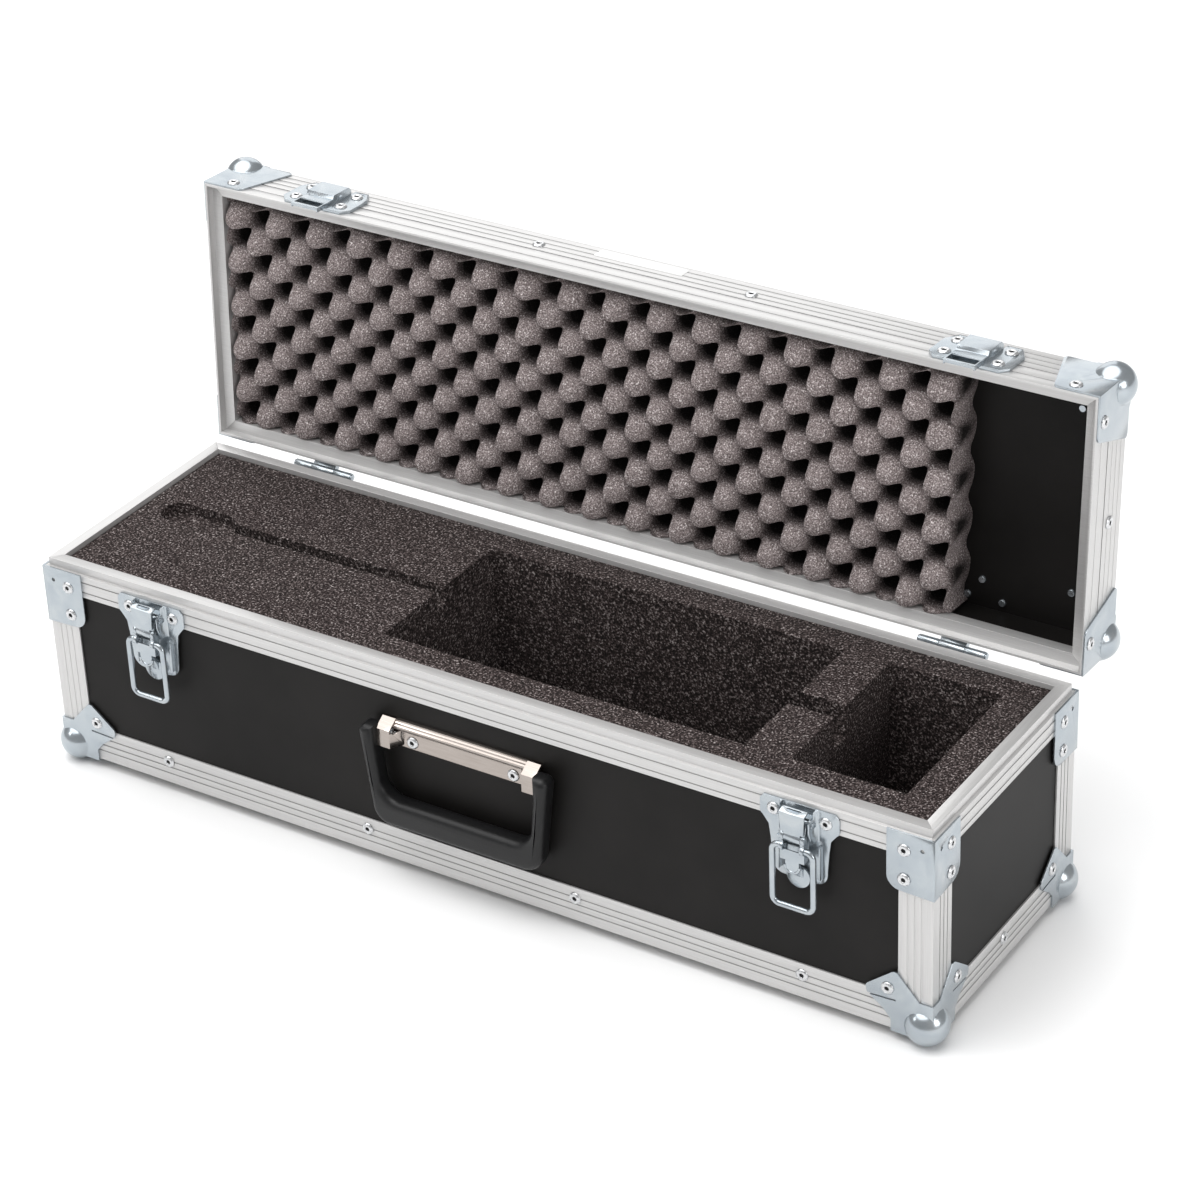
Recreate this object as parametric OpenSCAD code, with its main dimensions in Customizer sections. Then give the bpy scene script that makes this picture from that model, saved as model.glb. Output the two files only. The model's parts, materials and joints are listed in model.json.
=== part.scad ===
/* [Case] */
// Length of the case along X, outside the edge extrusions
case_l = 800; // [700:10:1100]
// Width of the case along Y, outside the edge extrusions
case_w = 225; // [215:5:300]
// Height of the base from the underside of its extrusions to the rim step
base_h = 174; // [165:1:240]
// Height of the lid from the rim step to its top
lid_h = 53; // [50:1:70]
// Angle at which the lid rests open
open_angle = 93.3; // [85:0.1:100]

/* [Boards and extrusions] */
// Thickness of the laminated boards
board_t = 7; // [6:0.5:9]
// Thickness of the aluminium legs outside the boards
alu_t = 1.5; // [1:0.1:2]
// Length of each leg of the angle extrusions on the long edges
edge_leg = 30; // [25:1:32]
// Length of each leg of the upright corner angles
post_leg = 28; // [22:1:32]
// Depth of the outer leg of the base rim extrusion
rim_leg = 20; // [16:1:24]
// Depth of the outer leg of the lid rim extrusion
lid_rim_leg = 22; // [20:0.5:22]
// Height of the tongue on the base rim
tongue_h = 7; // [5:0.5:8]
// Distance of the tongue behind the outer face
tongue_in = 2.6; // [2.5:0.1:3.5]
// Width of the tongue
tongue_w = 9.4; // [8.5:0.1:12]
// Thickness of the lid rim lip that closes outside the tongue
lip_t = 2; // [1.6:0.1:2]
// Width of the fine grooves that run along the extrusions
groove_w = 1; // [0.6:0.1:1.4]
// Depth of the fine grooves
groove_d = 0.4; // [0.2:0.1:0.6]

/* [Foam] */
// Height of the foam above the rim step
foam_up = 3; // [0:0.5:3]
// Thickness of the foam pad under the pockets
pad_t = 18; // [10:1:60]
// Length of the long compartment
long_l = 320; // [200:5:330]
// Width of both compartments
pocket_w = 149; // [100:1:155]
// Middle of the long compartment along X
long_x = 64; // [40:1:70]
// Middle of both compartments along Y
pocket_y = 2; // [-5:0.5:5]
// Length of the short compartment
short_l = 94; // [60:1:96]
// Middle of the short compartment along X
short_x = 310; // [305:1:315]
// Width of the round head recess
head_w = 29; // [22:1:50]
// Length of the round head recess
head_l = 68; // [55:1:80]
// Left end of the head recess along X
head_x = -370; // [-372:1:-340]
// Middle of the head recess and of the stem channel along Y
head_y = 4.5; // [-10:0.5:10]
// Depth of the head recess
head_d = 10; // [8:1:60]
// Width of the stem channel
stem_w = 12; // [8:1:20]
// Depth of the stem channel
stem_d = 16; // [8:1:30]
// Width of the channel between the compartments
neck_w = 18; // [12:1:24]
// Depth of the channel between the compartments
neck_d = 28; // [16:1:50]
// Thickness of the lid foam under its peaks
lid_foam_t = 17; // [8:1:20]
// Right end of the lid foam along X
lid_foam_end = 284; // [200:1:330]
// Number of columns of foam peaks
peak_columns = 33; // [20:1:33]
// Number of peaks in a column
peak_rows = 5; // [3:1:5]
// Radius of a peak where it rises from the foam
peak_r = 13; // [8:0.5:13]
// Radius of a peak at its tip
peak_tip_r = 4.5; // [3:0.5:6]

/* [Corners] */
// Thickness of the corner hardware
plate_t = 1.5; // [1:0.1:1.8]
// Width of each leg of the rim braces
brace_w = 37; // [34:1:42]
// Height of the rim braces
brace_h = 51; // [46:1:56]
// Radius of the corner balls
ball_r = 17; // [16.5:0.5:18.5]
// Distance of a ball centre inside the three faces
ball_in = 8; // [7:0.5:9]
// Reach of the longest side of a corner leg
leg_reach = 51; // [46:1:54]
// Length of a corner leg along the edge of the case
leg_short = 33; // [31:1:35]
// Height of the notch between two corner legs
leg_notch = 31; // [28:1:33]
// Radius of the rivet heads
rivet_r = 5.2; // [4:0.2:6]
// Height of the rivet heads
rivet_h = 1.8; // [1:0.1:2.5]

/* [Hinges] */
// Distance of the hinge axis behind the rear face
axis_out = 8; // [7.5:0.5:9]
// Height of the hinge axis above the rim step
axis_up = 2; // [2:0.1:3]
// Distance of each hinge from the end of the case
hinge_end = 107; // [100:1:200]
// Length of a hinge
hinge_l = 56; // [50:1:80]
// Outer radius of the hinge knuckles
knuckle_r = 3.5; // [3:0.1:4]
// Radius of the hinge pins
hinge_pin_r = 1.8; // [1.4:0.1:2]

/* [Latches] */
// Distance of each latch from the end of the case
latch_end = 107; // [100:1:200]
// Half of the width across the latch ears
ear_x = 32.5; // [30:0.5:34]
// Height of the latch plate
latch_h = 64; // [60:1:66]
// Depth of the lever pin below the rim step
lever_drop = 14.5; // [14:0.1:15.5]
// Distance of the lever pin outside the front face
lever_out = 6; // [6:0.1:6.4]
// Radius of the lever pin and the claw pin
latch_pin_r = 1.6; // [1.2:0.1:1.8]
// Depth of the claw pin below the rim step
claw_drop = 26; // [25.5:0.1:26.5]
// Distance of the claw pin outside the front face
claw_out = 9.5; // [9.2:0.1:9.8]
// Width of the claw
claw_w = 20.4; // [18:0.2:21]
// Thickness of the claw and lever sheet
sheet_t = 1.3; // [1:0.1:1.4]
// Depth of the ring pivot below the rim step
ring_drop = 34; // [33.5:0.1:35]
// Distance of the ring pivot outside the front face
ring_out = 12; // [11.5:0.1:12.5]
// Thickness of the ring wire
wire_d = 4.8; // [4:0.1:5]
// Outer width of the ring
ring_w = 38.4; // [38:0.2:42]
// Length of the ring from its pivot to its outer end
ring_l = 54; // [48:1:60]

/* [Handle] */
// Length of the handle bracket
handle_l = 144; // [120:1:160]
// Height of the handle axle above the underside of the extrusions
axle_z = 126; // [120:1:140]
// Distance of the handle axle outside the front face
axle_out = 7; // [6.5:0.1:8]
// Radius of the handle axle
axle_r = 2.5; // [2:0.1:3]
// Width of each leg of the grip
grip_leg = 13; // [10:0.5:15]
// Drop of the grip from the axle to its lower edge
grip_drop = 82; // [70:1:86]
// Height of the bar of the grip
grip_bar = 23; // [18:1:26]
// Depth of the grip from front to back
grip_t = 18; // [16:0.5:22]

/* [Hidden] */
// Everything is laid out with the lid closed, then the lid is swung open.
// The origin is the middle of the bottom board's underside.
$fn = 48;

zinc = "lightslategray";
aluminium = "gainsboro";
laminate = "#262626";
soft = "#3a3836";
nickel = "tan";

half_l = case_l / 2;
latch_x = half_l - latch_end;
hinge_x = half_l - hinge_end;
half_w = case_w / 2;
floor_z = -alu_t;
step_z = base_h - alu_t;
lid_top_z = step_z + lid_h;
board_in = alu_t + board_t;
rim_in = tongue_in + tongue_w;
tongue_top = step_z + tongue_h;
lid_floor = tongue_h + 0.5;
board_slack = 0.1;
fit = 0.3;
run_fit = 0.1;
mitre_gap = 0.05;
mitre_depth = 40;

axis_y = half_w + axis_out;
axis_z = step_z + axis_up;

// Outline helpers
function arc(cx, cy, r, from, to, n = 6) =
    [for (i = [0:n]) let (a = from + (to - from) * i / n) [cx + r * cos(a), cy + r * sin(a)]];

function rounded(x0, y0, x1, y1, r) = concat(
    arc(x1 - r, y1 - r, r, 0, 90), arc(x0 + r, y1 - r, r, 90, 180),
    arc(x0 + r, y0 + r, r, 180, 270), arc(x1 - r, y0 + r, r, 270, 360));

// Steps of a groove at height z on the outer face of a profile, going up or down
function groove_up(z) = [[0, z - groove_w / 2], [groove_d, z - groove_w / 2],
    [groove_d, z + groove_w / 2], [0, z + groove_w / 2]];

// Lays a slice drawn as (distance from the front face, height) along the front edge
module along_front(points) {
    intersection() {
        rotate([90, 0, 90]) linear_extrude(case_l, center = true)
            polygon([for (p = points) [-half_w + p.x, p.y]]);
        translate([0, 0, -2 * base_h]) linear_extrude(5 * base_h)
            polygon([[-half_l + mitre_gap, -half_w], [half_l - mitre_gap, -half_w],
                [half_l - mitre_depth - mitre_gap, -half_w + mitre_depth],
                [-half_l + mitre_depth + mitre_gap, -half_w + mitre_depth]]);
    }
}

// Lays the same slice along the right edge
module along_right(points) {
    intersection() {
        rotate([90, 0, 0]) linear_extrude(case_w, center = true)
            polygon([for (p = points) [half_l - p.x, p.y]]);
        translate([0, 0, -2 * base_h]) linear_extrude(5 * base_h)
            polygon([[half_l, -half_w + mitre_gap], [half_l, half_w - mitre_gap],
                [half_l - mitre_depth, half_w - mitre_depth - mitre_gap],
                [half_l - mitre_depth, -half_w + mitre_depth + mitre_gap]]);
    }
}

// A slice that stands on a face of the case: x across, y up, then its thickness
module on_front(out, thick) {
    translate([0, -half_w - out, 0]) rotate([90, 0, 0]) linear_extrude(thick) children();
}

// A pin or bore along X, out from the front face and at height z
module x_rod(r, x0, x1, out, z) {
    translate([x0, -half_w - out, z]) rotate([0, 90, 0]) cylinder(r = r, h = x1 - x0);
}

// Swings what is drawn for the closed lid about the hinge axis to its rest
module opened() {
    translate([0, axis_y, axis_z]) rotate([-open_angle, 0, 0])
        translate([0, -axis_y, -axis_z]) children();
}

module mirrored_x(sign) {
    if (sign < 0) mirror([1, 0, 0]) children();
    else children();
}

module mirrored_y(sign) {
    if (sign < 0) mirror([0, 1, 0]) children();
    else children();
}

// Base boards
module bottom_panel() {
    color(laminate) translate([-half_l + alu_t, -half_w + alu_t, 0])
        cube([case_l - 2 * alu_t, case_w - 2 * alu_t, board_t]);
}

module long_panel() {
    color(laminate) translate([-half_l + alu_t, -half_w + alu_t, board_t])
        cube([case_l - 2 * alu_t, board_t, step_z - alu_t - board_t]);
}

module end_panel() {
    color(laminate) translate([half_l - board_in, -half_w + board_in, board_t])
        cube([board_t, case_w - 2 * board_in, step_z - alu_t - board_t]);
}

// Angle extrusion of the bottom edges, with grooves on its upright leg
bottom_profile = concat([[0, floor_z]],
    groove_up(floor_z + edge_leg * 0.3), groove_up(floor_z + edge_leg * 0.5),
    groove_up(floor_z + edge_leg * 0.7),
    [[0, floor_z + edge_leg], [alu_t, floor_z + edge_leg], [alu_t, 0], [edge_leg, 0],
        [edge_leg, floor_z]]);

// Rim extrusion of the base, with the tongue that the lid closes over
rim_profile = concat([[0, step_z - rim_leg]],
    groove_up(step_z - rim_leg * 0.75), groove_up(step_z - rim_leg * 0.3),
    [[0, step_z], [tongue_in, step_z], [tongue_in, tongue_top], [rim_in, tongue_top],
        [rim_in, step_z - 12], [board_in + board_slack, step_z - 12],
        [board_in + board_slack, step_z - alu_t], [alu_t, step_z - alu_t],
        [alu_t, step_z - rim_leg]]);

module post() {
    seam = 0.2;
    z0 = floor_z + edge_leg + seam;
    marks = [0.35, 0.55, 0.75];
    color(aluminium) difference() {
        translate([half_l - post_leg, -half_w, z0])
            cube([post_leg, post_leg, step_z - rim_leg - seam - z0]);
        translate([half_l - post_leg - 1, -half_w + alu_t, z0 - 1])
            cube([post_leg + 1 - alu_t, post_leg, base_h]);
        for (m = marks) {
            translate([half_l - post_leg * m, -half_w - 1, z0 - 1])
                cube([groove_w, 1 + groove_d, base_h]);
            translate([half_l - groove_d, -half_w + post_leg * m, z0 - 1])
                cube([1 + groove_d, groove_w, base_h]);
        }
    }
}

// Places where the rim braces and corner legs are riveted
brace_rivets = [[brace_w - 14, -14], [brace_w - 14, -brace_h + 12]];

// Rim brace: a bent plate round the front right corner
module brace() {
    top = step_z + 0.5;
    r = 11;
    outline = concat([[-brace_w, 0], [plate_t, 0], [plate_t, -brace_h]],
        arc(-brace_w + r, -brace_h + 1 + r, r, 270, 180));
    color(zinc) difference() {
        union() {
            translate([half_l, 0, top]) on_front(0, plate_t) polygon(outline);
            translate([half_l, -half_w, top]) rotate([90, 0, 90])
                linear_extrude(plate_t) polygon([for (p = outline) [-p.x, p.y]]);
        }
        x_hole = half_l - 8.5;
        translate([x_hole, -half_w + 1, step_z - 10.5]) rotate([90, 0, 0])
            cylinder(r = 1.7, h = plate_t + 2);
        translate([half_l - 1, -half_w + 8.5, step_z - 10.5]) rotate([0, 90, 0])
            cylinder(r = 1.7, h = plate_t + 2);
    }
}

// The case inside its faces near a corner
module inside_corner(top) {
    big = 90;
    translate([half_l - big, -half_w, top ? lid_top_z - big : floor_z]) cube([big, big, big]);
}

// One leg of a ball corner, drawn from the corner: x along the face, y up it
leg_tip = [leg_reach * 1.03, leg_reach * 0.52];
leg_rivet = leg_reach * 0.7;
leg_outline = concat([[-plate_t, -plate_t], [leg_short, -plate_t], [leg_short, 9],
    [leg_short + 6, 16], leg_tip], arc(leg_tip.x - 3, leg_tip.y + 5, 4, -10, 50, 3),
    arc(leg_short - 3, leg_reach - 3.5, 4, 50, 150, 4), [[10, leg_notch], [-plate_t, leg_notch]]);
leg_slit = [[leg_tip.x + 2, leg_tip.y - 1.8], [leg_tip.x + 2, leg_tip.y - 0.4],
    [leg_short - 4, leg_tip.y + 0.8], [leg_short - 4, leg_tip.y - 0.6]];

// Leg under the case: it meets both upright legs and has no notch
flat_short = leg_reach * 0.51;
flat_tip = [leg_reach * 0.84, leg_reach * 0.53];
flat_leg = concat([[-plate_t, -plate_t], [flat_short, -plate_t], [flat_short, 0],
    [flat_short + 4, 10], flat_tip], arc(flat_tip.x - 6, flat_tip.x - 6, 5, 10, 80, 3),
    [[flat_tip.y, flat_tip.x], [10, flat_short + 4], [0, flat_short], [-plate_t, flat_short]]);

// Ball outside the faces, its pole towards the corner; up is 1 at the bottom corner
module ball_cap(up) {
    z_face = up > 0 ? floor_z : lid_top_z;
    difference() {
        translate([half_l - ball_in, -half_w + ball_in, z_face + up * ball_in])
            rotate([0, up > 0 ? 125 : 55, -45]) rotate([0, 0, 25]) sphere(r = ball_r);
        inside_corner(up < 0);
    }
}

// Ball corner at the front right bottom: a ball and three riveted legs
module ball_corner() {
    color(zinc) union() {
        difference() {
            union() {
                translate([half_l, 0, floor_z]) on_front(0, plate_t)
                    polygon([for (p = leg_outline) [-p.x, p.y]]);
                translate([half_l, -half_w, floor_z]) rotate([90, 0, 90])
                    linear_extrude(plate_t) polygon(leg_outline);
            }
            translate([half_l, 0, floor_z]) on_front(-1, plate_t + 2)
                polygon([for (p = leg_slit) [-p.x, p.y]]);
            translate([half_l - 1, -half_w, floor_z]) rotate([90, 0, 90])
                linear_extrude(plate_t + 2) polygon(leg_slit);
        }
        translate([half_l, -half_w, floor_z - plate_t]) linear_extrude(plate_t)
            polygon([for (p = flat_leg) [-p.x, p.y]]);
        ball_cap(1);
    }
}

// Lid corner: side plates over the whole depth of the lid, a top leg and a ball
module lid_corner() {
    low = step_z + 1;
    h = lid_top_z - low;
    side = concat([[plate_t, 0], [plate_t, h + plate_t], [-flat_short, h + plate_t],
        [-flat_short, h]], arc(-leg_reach + 4, h - 4, 4, 90, 170, 3),
        arc(-brace_w + 5, 5, 5, 190, 270, 4));
    color(zinc) union() {
        translate([half_l, 0, low]) on_front(0, plate_t) polygon(side);
        translate([half_l, -half_w, low]) rotate([90, 0, 90])
            linear_extrude(plate_t) polygon([for (p = side) [-p.x, p.y]]);
        translate([half_l, -half_w, lid_top_z]) linear_extrude(plate_t)
            polygon([for (p = flat_leg) [-p.x, p.y]]);
        ball_cap(-1);
    }
}

// Tubular rivet head, standing on its face and dished in the middle
module rivet() {
    rotate_extrude() polygon([[0, 0], [rivet_r, 0], [rivet_r, rivet_h * 0.35],
        [rivet_r * 0.75, rivet_h], [rivet_r * 0.45, rivet_h], [rivet_r * 0.32, rivet_h * 0.7],
        [rivet_r * 0.3, rivet_h * 0.15], [0, rivet_h * 0.15]]);
}

module front_rivet(x, z, out) {
    translate([x, -half_w - out, z]) rotate([90, 0, 0]) rivet();
}

module right_rivet(y, z, out) {
    translate([half_l + out, y, z]) rotate([0, 90, 0]) rivet();
}

edge_rivet_x = [-latch_x, -case_l * 0.12, case_l * 0.12, latch_x];
edge_rivet_z = floor_z + edge_leg * 0.68;
ear_rivet = [21.4, 12.7];
handle_rivet = [46, -10];
hinge_rivet = [18, 22];

module base_rivets() {
    color(zinc) {
        for (sx = [-1, 1], sy = [-1, 1]) mirrored_x(sx) mirrored_y(sy) {
            for (p = brace_rivets) {
                front_rivet(half_l - p.x, step_z + p.y, plate_t);
                right_rivet(-half_w + p.x, step_z + p.y, plate_t);
            }
            front_rivet(half_l - leg_rivet, floor_z + leg_rivet, plate_t);
            right_rivet(-half_w + leg_rivet, floor_z + leg_rivet, plate_t);
        }
        for (sy = [-1, 1], x = edge_rivet_x) mirrored_y(sy) front_rivet(x, edge_rivet_z, 0);
        for (sx = [-1, 1]) mirrored_x(sx) right_rivet(0, edge_rivet_z, 0);
        for (s = [-1, 1], e = [-1, 1])
            front_rivet(s * latch_x + e * ear_rivet.x, step_z - ear_rivet.y, plate_t);
        for (e = [-1, 1])
            front_rivet(e * handle_rivet.x, floor_z + axle_z + handle_rivet.y, strip_t - alu_t);
        for (s = [-1, 1], e = [-1, 1]) mirrored_y(-1)
            front_rivet(s * hinge_x + e * hinge_rivet.x, step_z - hinge_rivet.y, plate_t);
    }
}

// Base foam: a deep pad below, and an insert cut through for the contents
foam_top = step_z + foam_up;
foam_x = half_l - rim_in - fit;
foam_y = half_w - rim_in - fit;
pad_top = board_t + pad_t;

module foam_pad() {
    color(soft) translate([-foam_x, -foam_y, board_t])
        cube([2 * foam_x, 2 * foam_y, pad_t]);
}

module foam_insert() {
    long_left = long_x - long_l / 2;
    over = 5;
    color(soft) difference() {
        translate([-foam_x, -foam_y, pad_top])
            cube([2 * foam_x, 2 * foam_y, foam_top - pad_top]);
        translate([long_left, pocket_y - pocket_w / 2, pad_top - over])
            cube([long_l, pocket_w, base_h]);
        translate([short_x - short_l / 2, pocket_y - pocket_w / 2, pad_top - over])
            cube([short_l, pocket_w, base_h]);
        translate([0, head_y, foam_top - head_d]) linear_extrude(head_d + over)
            polygon(rounded(head_x, -head_w / 2, head_x + head_l, head_w / 2, head_w / 2));
        translate([head_x + head_l * 0.8, head_y - stem_w / 2, foam_top - stem_d])
            cube([long_left + over - head_x - head_l * 0.8, stem_w, stem_d + over]);
        translate([long_x, -neck_w / 2, foam_top - neck_d])
            cube([short_x - long_x, neck_w, neck_d + over]);
    }
}

// Hinges: base leaves with two knuckles each, lid leaves with one between them
knuckle_l = hinge_l * 0.3;
leaf_h = 32;

module leaf(y_face, z_edge, up) {
    translate([-hinge_l / 2, y_face, up > 0 ? z_edge : z_edge - leaf_h])
        cube([hinge_l, plate_t, leaf_h]);
}

// Bent web from a leaf to a knuckle, between x0 and x1
module knuckle(x0, x1, up, play) {
    foot = up > 0 ? step_z + 6 : step_z - 6;
    lip = foot + up * 6;
    difference() {
        union() {
            translate([x0, 0, 0]) rotate([90, 0, 90]) linear_extrude(x1 - x0)
                polygon([[half_w, foot], [half_w, lip], [half_w + plate_t, lip],
                    [axis_y + knuckle_r * 0.7, axis_z + up * knuckle_r * 0.7],
                    [axis_y - knuckle_r * 0.7, axis_z - up * 0.2]]);
            translate([x0, axis_y, axis_z]) rotate([0, 90, 0])
                cylinder(r = knuckle_r, h = x1 - x0);
        }
        translate([x0 - 1, axis_y, axis_z]) rotate([0, 90, 0])
            cylinder(r = hinge_pin_r + play, h = x1 - x0 + 2);
    }
}

module hinge_base_leaves() {
    color(zinc) for (s = [-1, 1]) translate([s * hinge_x, 0, 0]) {
        leaf(half_w, step_z - 6, -1);
        knuckle(-hinge_l / 2, -hinge_l / 2 + knuckle_l, -1, 0);
        knuckle(hinge_l / 2 - knuckle_l, hinge_l / 2, -1, 0);
    }
}

module hinge_lid_leaves() {
    middle = hinge_l / 2 - knuckle_l - fit;
    color(zinc) opened() for (s = [-1, 1]) translate([s * hinge_x, 0, 0]) {
        leaf(half_w, step_z + 6, 1);
        knuckle(-middle, middle, 1, run_fit / 2);
    }
}

module hinge_pins() {
    head_t = 1.2;
    color(zinc) for (s = [-1, 1]) translate([s * hinge_x, axis_y, axis_z]) {
        translate([-hinge_l / 2 - head_t, 0, 0]) rotate([0, 90, 0])
            cylinder(r = hinge_pin_r, h = hinge_l + 2 * head_t);
        for (e = [-1, 1]) translate([e * (hinge_l + head_t) / 2, 0, 0])
            rotate([0, 90, 0]) cylinder(r = hinge_pin_r + 1, h = head_t, center = true);
    }
}

// Latch: heights are below the rim step, x is from the middle of the latch
cheek_in = 11.5;
lever_in = 7;
lever_side = 3;
claw_roll = 4.2;
neck_half = lever_in - fit;
tab_r = 9.5;
half_plate = concat([[cheek_in, -3], [ear_x - 3, -3]], arc(ear_x - 4, -8, 4, 60, 0, 3),
    arc(ear_x - 4, -17, 4, 0, -60, 3), [[ear_x - 7, -27], [24, -38], [22.7, -54]],
    arc(12.7, -3 - latch_h + 10, 10, 0, -90, 5));
latch_outline = [for (s = [1, -1]) for (i = [0:len(half_plate) - 1])
    let (p = half_plate[s > 0 ? i : len(half_plate) - 1 - i]) [s * p.x, p.y]];

module at_latch(side) {
    translate([side * latch_x, 0, step_z]) children();
}

// Cheeks of the plate, seen from above as (distance from the middle, out from the face)
cheek_top = -9.5;
cheek_low = -30;
cheek_fillet = [[cheek_in + 2.6, 4.4], [cheek_in + 3.6, 2.7], [cheek_in + 4.8, plate_t],
    [cheek_in + 4.8, 0]];
cheek_plan = concat([[cheek_in, 0], [cheek_in, 10.5], [cheek_in + plate_t, 10.5],
    [cheek_in + 1.8, 7]], cheek_fillet);
cheek_crest = concat([[cheek_in + 2, 0], [cheek_in + 2, 6]], cheek_fillet);

module upright(points, e, low, high) {
    translate([0, -half_w, low]) linear_extrude(high - low)
        polygon([for (p = points) [e * p.x, -p.y]]);
}

module latch_plate(side) {
    color(zinc) at_latch(side) difference() {
        union() {
            on_front(0, plate_t) polygon(latch_outline);
            translate([-cheek_in - 0.5, -half_w - 6.8, cheek_top - 0.4])
                cube([2 * cheek_in + 1, 6.8, 1.1]);
            for (e = [-1, 1]) {
                upright(cheek_crest, e, cheek_top - 0.1, -3.2);
                intersection() {
                    upright(cheek_plan, e, cheek_low, cheek_top);
                    translate([-ear_x, -half_w, 0]) rotate([90, 0, 90]) linear_extrude(2 * ear_x)
                        polygon([[1, cheek_low - 1], [1, cheek_top + 1], [-9, cheek_top + 0.5],
                            [-10.5, cheek_top - 2.5], [-10.5, -20], [-7, cheek_low - 1]]);
                }
                translate([e * 17, -half_w - plate_t, -62]) rotate([90, 0, 0])
                    linear_extrude(2) polygon(rounded(-1.6, 0, 1.6, 29, 1.5));
            }
        }
        x_rod(latch_pin_r, -20, 20, lever_out, -lever_drop);
        for (e = [-1, 1]) mirrored_x(e)
            x_rod(latch_pin_r + 1 + run_fit, cheek_in + plate_t, 20, lever_out, -lever_drop);
    }
}

module lever_pin(side) {
    end = cheek_in + plate_t;
    color(zinc) at_latch(side) {
        x_rod(latch_pin_r, -end, end, lever_out, -lever_drop);
        for (e = [-1, 1]) x_rod(latch_pin_r + 1, e * (end + 0.5) - 0.5, e * (end + 0.5) + 0.5,
            lever_out, -lever_drop);
    }
}

// Lever: two cheeks, a flat face below the claw and a thumb tab at the bottom
module latch_lever(side) {
    face_top = -claw_drop - 6;
    face_end = -45;
    tab_z = -63.5;
    strip_half = 4;
    spoon_r = 5.6;
    spoon_z = face_end - 4;
    face_out = ring_out + 1;
    side_shape = [[-lever_out + 3.6, -lever_drop - 1], [-lever_out - 1, -lever_drop + 3.6],
        [-lever_out - 3.6, -lever_drop + 1], [-claw_out - 1.8, -claw_drop + 4.6],
        [-claw_out - claw_roll, -claw_drop - 3], [-face_out, face_top],
        [-face_out, face_end], [-face_out + 5, face_end], [-lever_out, -ring_drop]];
    color(zinc) at_latch(side) difference() {
        union() {
            for (e = [-1, 1]) {
                x0 = e > 0 ? lever_in : -lever_in - lever_side;
                translate([x0, -half_w, 0]) rotate([90, 0, 90])
                    linear_extrude(lever_side) polygon(side_shape);
                x_rod(claw_roll, x0, x0 + lever_side, claw_out, -claw_drop);
                x_rod(wire_d / 2 + 1, x0, x0 + lever_side, ring_out, -ring_drop);
                x_rod(4, x0, x0 + lever_side, lever_out, -lever_drop);
            }
            translate([-lever_in - 1, -half_w, 0]) rotate([90, 0, 90])
                linear_extrude(2 * lever_in + 2) polygon([[-face_out, face_top],
                    [-face_out, face_end], [-face_out + sheet_t, face_end],
                    [-face_out + sheet_t, face_top]]);
            translate([-lever_in, -half_w, 0]) rotate([90, 0, 90]) linear_extrude(2 * lever_in)
                polygon([[-face_out, face_top], [-face_out, face_top - sheet_t],
                    [-face_out + 5, face_top - 2], [-face_out + 5, face_top - 0.8]]);
            translate([-strip_half, -half_w, 0]) rotate([90, 0, 90])
                linear_extrude(2 * strip_half) polygon([[-face_out, face_end + 1],
                    [-face_out, face_end], [-5.6, tab_z + 6], [-4.2, tab_z], [-2.8, tab_z],
                    [-4.2, tab_z + 6.6], [-face_out + sheet_t, face_end + 0.4],
                    [-face_out + sheet_t, face_end + 1]]);
            on_front(face_out - sheet_t, sheet_t) polygon(concat([[spoon_r, face_end + 1]],
                arc(0, spoon_z, spoon_r, 0, -180, 10), [[-spoon_r, face_end + 1]]));
            translate([0, -half_w - face_out + 0.3, spoon_z]) rotate([-90, 0, 0])
                rotate_extrude(angle = 180) translate([spoon_r + 0.4, 0]) circle(r = 1.1, $fn = 16);
            translate([0, 0, tab_z]) on_front(2.8, sheet_t) circle(r = tab_r);
        }
        x_rod(latch_pin_r + run_fit / 2, -20, 20, lever_out, -lever_drop);
        x_rod(latch_pin_r, -20, 20, claw_out, -claw_drop);
        x_rod(wire_d / 2 + run_fit / 2, -20, 20, ring_out, -ring_drop);
    }
}

module claw_pin(side) {
    end = lever_in + lever_side;
    color(zinc) at_latch(side) x_rod(latch_pin_r, -end, end, claw_out, -claw_drop);
}

// Claw: rolled onto its pin, upright in front, returned inwards over the keeper lip
module latch_claw(side) {
    top = -4.6;
    front = claw_out + 3.8;
    tip = 7.4;
    hole_x = claw_w * 0.29;
    side_shape = [[-claw_out - 1, -claw_drop], [-front, -claw_drop + 3.5], [-front, top],
        [-tip, top + 1.6], [-tip, top + 0.4], [-front + sheet_t, top - sheet_t],
        [-front + sheet_t, -claw_drop + 4.6], [-claw_out, -claw_drop + 3]];
    color(zinc) at_latch(side) difference() {
        union() {
            x_rod(claw_roll, -neck_half, neck_half, claw_out, -claw_drop);
            translate([-neck_half, -half_w, 0]) rotate([90, 0, 90])
                linear_extrude(2 * neck_half) polygon(side_shape);
            intersection() {
                translate([-claw_w / 2, -half_w, 0]) rotate([90, 0, 90])
                    linear_extrude(claw_w) polygon(side_shape);
                on_front(-5, 40) polygon([[-claw_w / 2, 5], [-claw_w / 2, top - 3],
                    [-claw_w / 2 + 1, -claw_drop + 5.2], [claw_w / 2 - 1, -claw_drop + 5.2],
                    [claw_w / 2, top - 3], [claw_w / 2, 5]]);
            }
        }
        x_rod(latch_pin_r + run_fit / 2, -20, 20, claw_out, -claw_drop);
        intersection() {
            translate([0, -half_w - tip - 1, top - 3])
                scale([hole_x, front - sheet_t - tip - 1.3, 1]) cylinder(r = 1, h = 8, $fn = 32);
            translate([-claw_w, -half_w - tip - 10, top - 3]) cube([2 * claw_w, 9, 9]);
        }
    }
}

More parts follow.
